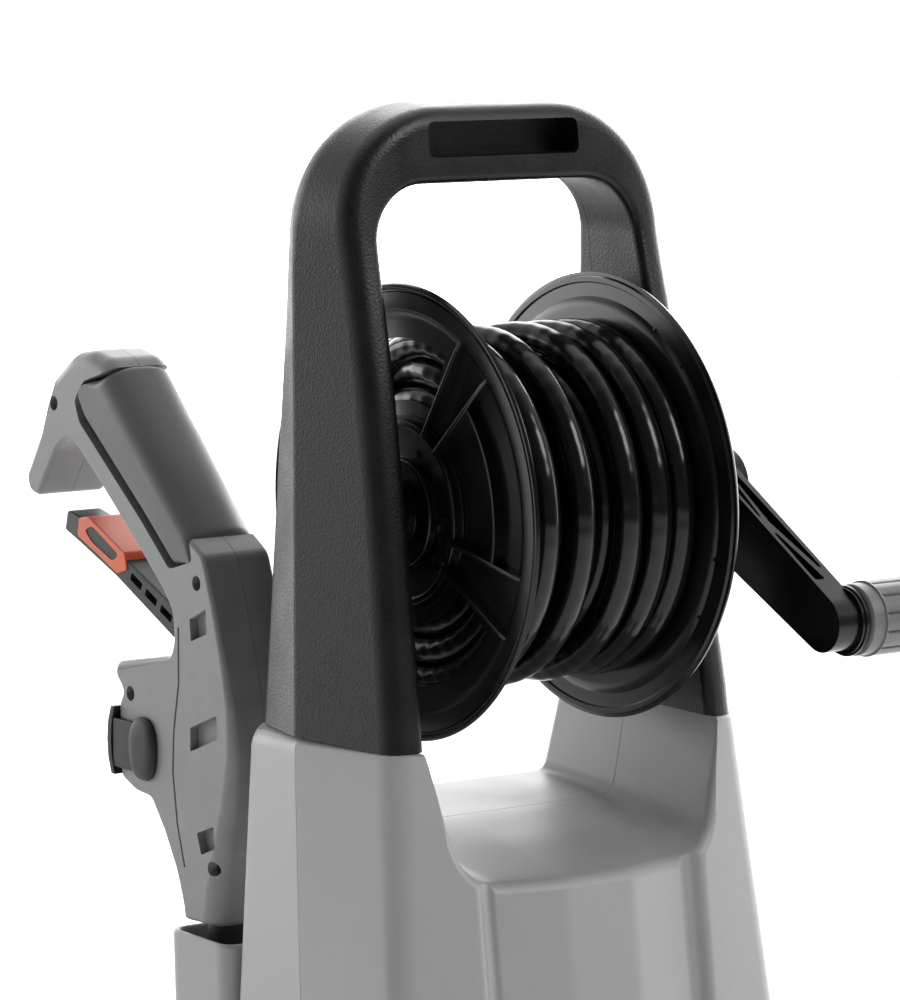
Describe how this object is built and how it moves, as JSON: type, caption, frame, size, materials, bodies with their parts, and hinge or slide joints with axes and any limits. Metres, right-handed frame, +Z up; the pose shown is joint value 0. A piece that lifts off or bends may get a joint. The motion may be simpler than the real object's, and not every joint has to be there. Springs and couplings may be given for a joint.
{
  "type": "pressure washer",
  "caption": "Upright electric pressure washer: grey shells on a wheeled tray, arched black handle round a crank-wound hose reel, spray gun in a rear holster.",
  "frame": {"origin": "on the floor, on the underside of the tray, straight below the middle of the reel", "axes": "+X towards the crank side, -Y towards the front panel, +Z up"},
  "size_m": [0.3775, 0.4105, 0.857],
  "materials": {
    "shell_grey": "satin moulded light grey plastic",
    "tray_black": "fine textured black plastic",
    "handle_black": "fine textured black plastic",
    "reel_black": "glossy black plastic",
    "hose_black": "glossy ribbed black hose cover",
    "gun_grey": "fine grained mid grey plastic",
    "pad_grey": "soft dark grey insert",
    "lever_grey": "fine grained dark grey plastic",
    "safety_orange": "satin orange plastic",
    "grip_grey": "satin grey plastic",
    "screw_steel": "black coated steel",
    "steel": "turned steel",
    "brass": "machined brass",
    "cast_alloy": "die cast aluminium",
    "copper_iron": "laminations and copper windings",
    "rubber_black": "black rubber",
    "tyre_black": "moulded black rubber tread",
    "tank_white": "translucent blow moulded plastic",
    "bush_white": "natural white acetal"
  },
  "bodies": {
    "root": {"base_tray": "tray_black", "floor_pads": "rubber_black", "front_shell": "shell_grey", "rear_shell": "shell_grey", "case_screws": "screw_steel", "handle_front": "handle_black", "handle_rear": "handle_black", "switch_bezel": "handle_black", "switch_body": "lever_grey", "gun_holster": "shell_grey", "cable_gland": "rubber_black", "detergent_tank": "tank_white", "suction_tube": "tank_white", "wheel_axle": "steel", "motor_bracket": "steel", "rubber_mounts": "rubber_black", "motor_housing": "cast_alloy", "motor_end_cover": "cast_alloy", "motor_stator": "copper_iron", "motor_bearings": "steel", "run_capacitor": "tank_white", "pump_body": "cast_alloy", "pump_head": "brass", "pump_pistons": "steel", "piston_springs": "steel", "pump_bolts": "screw_steel", "stop_switch": "lever_grey", "inlet_coupling": "brass", "outlet_elbow": "brass", "feed_hose": "hose_black", "reel_bushes": "bush_white", "hose_swivel": "brass"},
    "reel": {"reel_shaft": "steel", "reel_flange_left": "reel_black", "reel_flange_right": "reel_black", "hose_coil": "hose_black", "hose_end_fitting": "brass", "crank_arm": "reel_black", "crank_screw": "screw_steel"},
    "crank_grip": {"crank_grip": "grip_grey"},
    "wheel_left": {"wheel_left": "tray_black", "tyre_left": "tyre_black", "wheel_cap_left": "shell_grey"},
    "wheel_right": {"wheel_right": "tray_black", "tyre_right": "tyre_black", "wheel_cap_right": "shell_grey"},
    "knob": {"control_knob": "safety_orange"},
    "rotor": {"motor_rotor": "steel", "motor_fan": "tray_black", "swash_plate": "steel"},
    "tank_cap": {"tank_cap": "handle_black"},
    "gun": {"gun_shell_left": "gun_grey", "gun_shell_right": "gun_grey", "gun_grip_pad": "pad_grey", "gun_screws": "screw_steel", "gun_valve": "lever_grey", "trigger_pin": "steel"},
    "trigger": {"gun_trigger": "lever_grey"},
    "trigger_lock": {"trigger_lock": "safety_orange"},
    "hose_clip": {"hose_clip": "lever_grey"}
  },
  "joints": [
    {"name": "reel_spin", "type": "hinge", "parent": "root", "child": "reel", "pos_m": [0, 0, 0.68], "axis": [1, 0, 0], "continuous": true},
    {"name": "crank_grip_spin", "type": "hinge", "parent": "reel", "child": "crank_grip", "pos_m": [0.165, -0.09271, 0.62861], "axis": [1, 0, 0], "continuous": true},
    {"name": "wheel_left_spin", "type": "hinge", "parent": "root", "child": "wheel_left", "pos_m": [-0.143, 0.072, 0.09], "axis": [1, 0, 0], "continuous": true},
    {"name": "wheel_right_spin", "type": "hinge", "parent": "root", "child": "wheel_right", "pos_m": [0.143, 0.072, 0.09], "axis": [1, 0, 0], "continuous": true},
    {"name": "knob_turn", "type": "hinge", "parent": "root", "child": "knob", "pos_m": [0, -0.115, 0.41], "axis": [0, -1, 0], "range_deg": [-90, 0]},
    {"name": "rotor_spin", "type": "hinge", "parent": "root", "child": "rotor", "pos_m": [0, -0.01, 0.24], "axis": [0, 0, 1], "continuous": true},
    {"name": "tank_cap_pull", "type": "slide", "parent": "root", "child": "tank_cap", "axis": [0, 1, 0], "range_m": [0, 0.03]},
    {"name": "gun_lift", "type": "slide", "parent": "root", "child": "gun", "axis": [0, 0, 1], "range_m": [0, 0.1]},
    {"name": "trigger_pull", "type": "hinge", "parent": "gun", "child": "trigger", "pos_m": [-0.077, 0.1125, 0.6118], "axis": [1, 0, 0], "range_deg": [0, 12], "stiffness_Nm_per_rad": 0.5, "springref_deg": -11.46},
    {"name": "trigger_lock_flip", "type": "hinge", "parent": "trigger", "child": "trigger_lock", "pos_m": [-0.077, 0.185, 0.6391], "axis": [1, 0, 0], "range_deg": [0, 12]},
    {"name": "hose_clip_slide", "type": "slide", "parent": "gun", "child": "hose_clip", "axis": [0, 1, 0], "range_m": [0, 0.004]}
  ]
}
